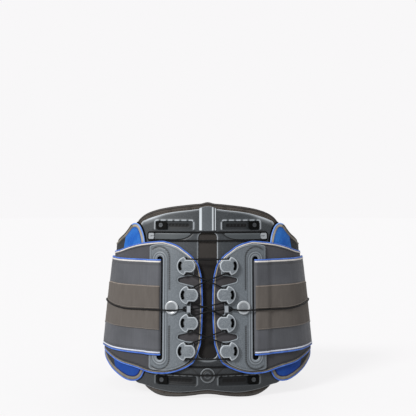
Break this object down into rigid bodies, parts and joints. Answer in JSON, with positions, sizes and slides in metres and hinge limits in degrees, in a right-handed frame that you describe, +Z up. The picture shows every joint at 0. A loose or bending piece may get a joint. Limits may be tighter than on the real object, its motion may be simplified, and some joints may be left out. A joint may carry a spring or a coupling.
{
  "type": "lumbar support belt",
  "caption": "Closed lumbar support belt with a rigid slotted back frame, two laced wings with D-shaped plates, cord guides, elastic straps, pull handles and an overlapping front closure.",
  "frame": {"origin": "middle of the belt's box, on the surface that its lower edges stand on", "axes": "+Z up, from the lower to the upper edge; -Y towards the back of the wearer, where the frame and lacing are; +X towards the viewer's right when the back is looked at"},
  "size_m": [0.3504, 0.2668, 0.2918],
  "materials": {
    "lining": "brushed knit",
    "frame_plastic": "satin moulded",
    "rib_plastic": "satin moulded",
    "hook_plastic": "glossy",
    "cord": "braided",
    "panel_fabric": "knit",
    "mesh_blue": "open mesh",
    "fleece": "brushed loop",
    "hook_tape": "hook tape",
    "slider_plastic": "semi-gloss",
    "screw_metal": "turned",
    "wing_fabric": "knit",
    "plate_plastic": "speckled satin",
    "guide_plastic": "speckled satin",
    "stud_metal": "satin",
    "eyelet_metal": "polished",
    "bridge_plastic": "glossy",
    "strap_elastic": "ribbed elastic",
    "velour": "velour pile",
    "handle_rubber": "matt",
    "piping_blue": "woven binding",
    "piping_light": "woven binding"
  },
  "bodies": {
    "belt": {"back_pad": "lining", "back_frame": "frame_plastic", "centre_rib": "rib_plastic", "centre_boss": "frame_plastic", "left_upper_hook": "hook_plastic", "right_upper_hook": "hook_plastic", "left_lower_hook": "hook_plastic", "right_lower_hook": "hook_plastic", "upper_cord_loop": "cord", "lower_cord_loop": "cord", "left_tongue": "frame_plastic", "right_tongue": "frame_plastic", "left_side_panel": "panel_fabric", "right_side_panel": "panel_fabric", "left_mesh_insert": "mesh_blue", "right_mesh_insert": "mesh_blue", "right_front_flap": "panel_fabric", "loop_field": "fleece"},
    "left_wing": {"left_wing_fabric": "wing_fabric", "left_plate": "plate_plastic", "left_guide_1": "guide_plastic", "left_guide_2": "guide_plastic", "left_guide_3": "guide_plastic", "left_guide_4": "guide_plastic", "left_stud": "stud_metal", "left_eyelet": "eyelet_metal", "left_bridge": "bridge_plastic", "left_strap": "strap_elastic", "left_velour": "velour", "left_pull_cord": "cord", "left_lacing": "cord"},
    "right_wing": {"right_wing_fabric": "wing_fabric", "right_plate": "plate_plastic", "right_guide_1": "guide_plastic", "right_guide_2": "guide_plastic", "right_guide_3": "guide_plastic", "right_guide_4": "guide_plastic", "right_stud": "stud_metal", "right_eyelet": "eyelet_metal", "right_bridge": "bridge_plastic", "right_strap": "strap_elastic", "right_velour": "velour", "right_pull_cord": "cord", "right_lacing": "cord"},
    "left_flap": {"left_front_flap": "panel_fabric", "hook_patch": "hook_tape"},
    "left_handle": {"left_handle": "handle_rubber", "left_front_cord": "cord"},
    "right_handle": {"right_handle": "handle_rubber", "right_front_cord": "cord"},
    "left_upper_slider": {"left_upper_slider": "slider_plastic"},
    "left_upper_screw": {"left_upper_screw": "screw_metal"},
    "right_upper_slider": {"right_upper_slider": "slider_plastic"},
    "right_upper_screw": {"right_upper_screw": "screw_metal"},
    "left_lower_slider": {"left_lower_slider": "slider_plastic"},
    "left_lower_screw": {"left_lower_screw": "screw_metal"},
    "right_lower_slider": {"right_lower_slider": "slider_plastic"},
    "right_lower_screw": {"right_lower_screw": "screw_metal"}
  },
  "joints": [
    {"name": "left_wing_slide_out", "type": "hinge", "parent": "belt", "child": "left_wing", "pos_m": [0, 0.11201, 0], "axis": [0, 0, -1], "range_deg": [0, 1.5]},
    {"name": "right_wing_slide_out", "type": "hinge", "parent": "belt", "child": "right_wing", "pos_m": [0, 0.11201, 0], "axis": [0, 0, 1], "range_deg": [0, 1.5]},
    {"name": "left_flap_fold", "type": "hinge", "parent": "belt", "child": "left_flap", "pos_m": [-0.14614, 0.07476, 0], "axis": [0.079, -0.0737, 0.9941], "range_deg": [0, 100]},
    {"name": "left_handle_travel", "type": "hinge", "parent": "left_flap", "child": "left_handle", "pos_m": [0, -0.11201, 0], "axis": [0, 0, 1], "range_deg": [0, 13.8], "deforming": ["left_front_cord"]},
    {"name": "right_handle_travel", "type": "hinge", "parent": "belt", "child": "right_handle", "pos_m": [0, -0.11201, 0], "axis": [0, 0, -1], "range_deg": [0, 13.8], "deforming": ["right_front_cord"]},
    {"name": "left_upper_slider_travel", "type": "hinge", "parent": "belt", "child": "left_upper_slider", "pos_m": [0, 0.11201, 0], "axis": [0, 0, 1], "range_deg": [0, 10.5]},
    {"name": "left_upper_screw_turn", "type": "hinge", "parent": "left_upper_slider", "child": "left_upper_screw", "pos_m": [-0.0717, -0.08254, 0.2568], "axis": [-0.3438, -0.9328, 0.1081], "range_deg": [0, 90]},
    {"name": "right_upper_slider_travel", "type": "hinge", "parent": "belt", "child": "right_upper_slider", "pos_m": [0, 0.11201, 0], "axis": [0, 0, -1], "range_deg": [0, 10.5]},
    {"name": "right_upper_screw_turn", "type": "hinge", "parent": "right_upper_slider", "child": "right_upper_screw", "pos_m": [0.0717, -0.08254, 0.2568], "axis": [0.3438, -0.9328, 0.1081], "range_deg": [0, 90]},
    {"name": "left_lower_slider_travel", "type": "hinge", "parent": "belt", "child": "left_lower_slider", "pos_m": [0, 0.11201, 0], "axis": [0, 0, 1], "range_deg": [0, 10.5]},
    {"name": "left_lower_screw_turn", "type": "hinge", "parent": "left_lower_slider", "child": "left_lower_screw", "pos_m": [-0.0689, -0.11031, 0.0231], "axis": [-0.2943, -0.9496, 0.1081], "range_deg": [0, 90]},
    {"name": "right_lower_slider_travel", "type": "hinge", "parent": "belt", "child": "right_lower_slider", "pos_m": [0, 0.11201, 0], "axis": [0, 0, -1], "range_deg": [0, 10.5]},
    {"name": "right_lower_screw_turn", "type": "hinge", "parent": "right_lower_slider", "child": "right_lower_screw", "pos_m": [0.0689, -0.11031, 0.0231], "axis": [0.2943, -0.9496, 0.1081], "range_deg": [0, 90]}
  ],
  "couplings": [
    {"joint": "right_wing_slide_out", "follows": "left_wing_slide_out", "ratio": 1},
    {"joint": "left_handle_travel", "follows": "left_wing_slide_out", "ratio": 9.2},
    {"joint": "right_handle_travel", "follows": "left_wing_slide_out", "ratio": 9.2}
  ]
}
